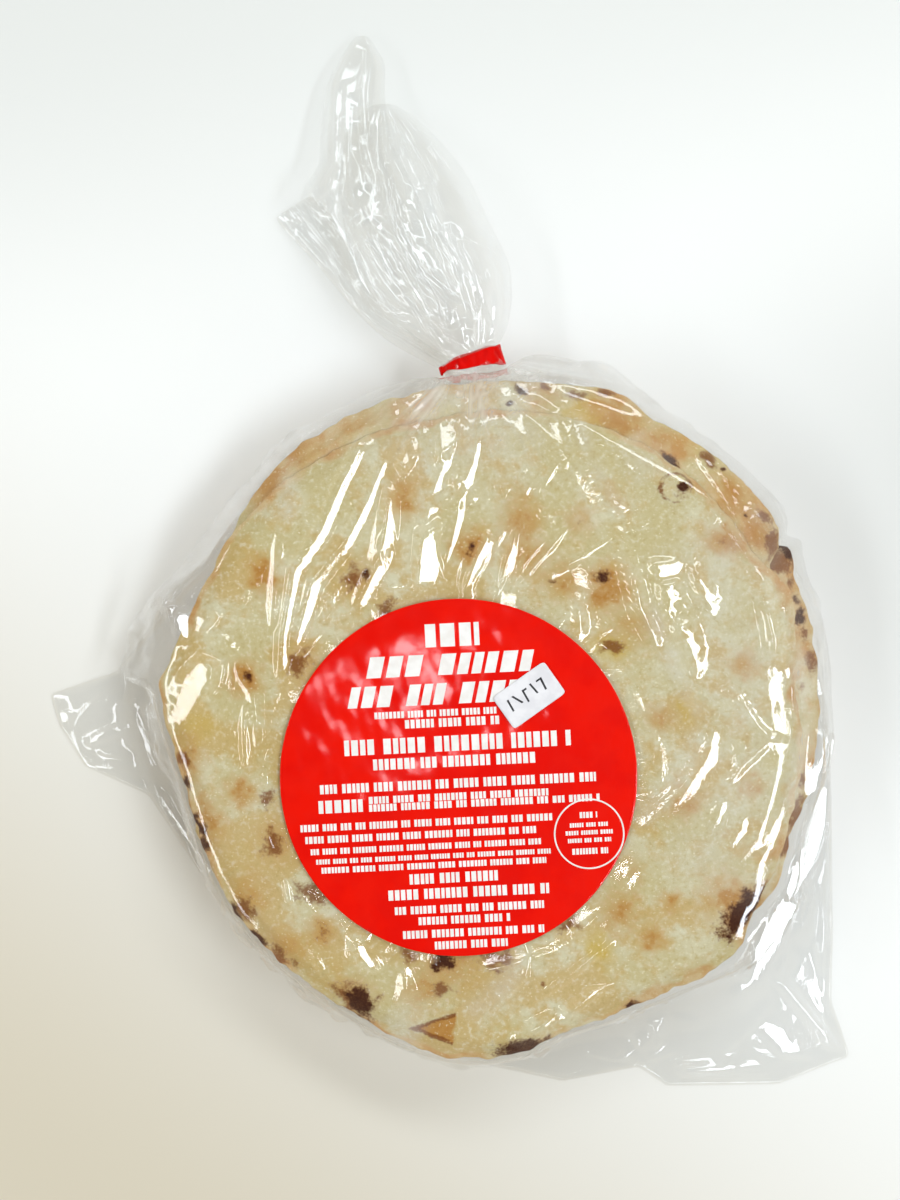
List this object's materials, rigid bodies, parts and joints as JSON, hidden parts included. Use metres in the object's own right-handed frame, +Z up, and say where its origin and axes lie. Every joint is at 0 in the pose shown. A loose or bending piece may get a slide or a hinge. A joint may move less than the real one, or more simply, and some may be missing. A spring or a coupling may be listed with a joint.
{
  "type": "bagged stack of lahmacun flatbreads",
  "caption": "Stack of round thin flatbreads, pale underside up, in a clear film bag tied at the neck with red tape, with a round red label on top.",
  "frame": {"origin": "middle of the whole pack's base, on the surface it lies on", "axes": "+Z up through the stack, +Y along the pack towards the gathered tail of the bag, +X to the right of the label"},
  "size_m": [0.253, 0.3294, 0.0472],
  "materials": {
    "film_and_bread": "clear glossy film over pale browned bread",
    "red_tape": "satin red tape",
    "label_red": "glossy coated red paper",
    "sticker_white": "matt white paper"
  },
  "bodies": {
    "root": {"bag": "film_and_bread", "neck_tape": "red_tape", "label": "label_red", "price_sticker": "sticker_white"}
  },
  "joints": []
}
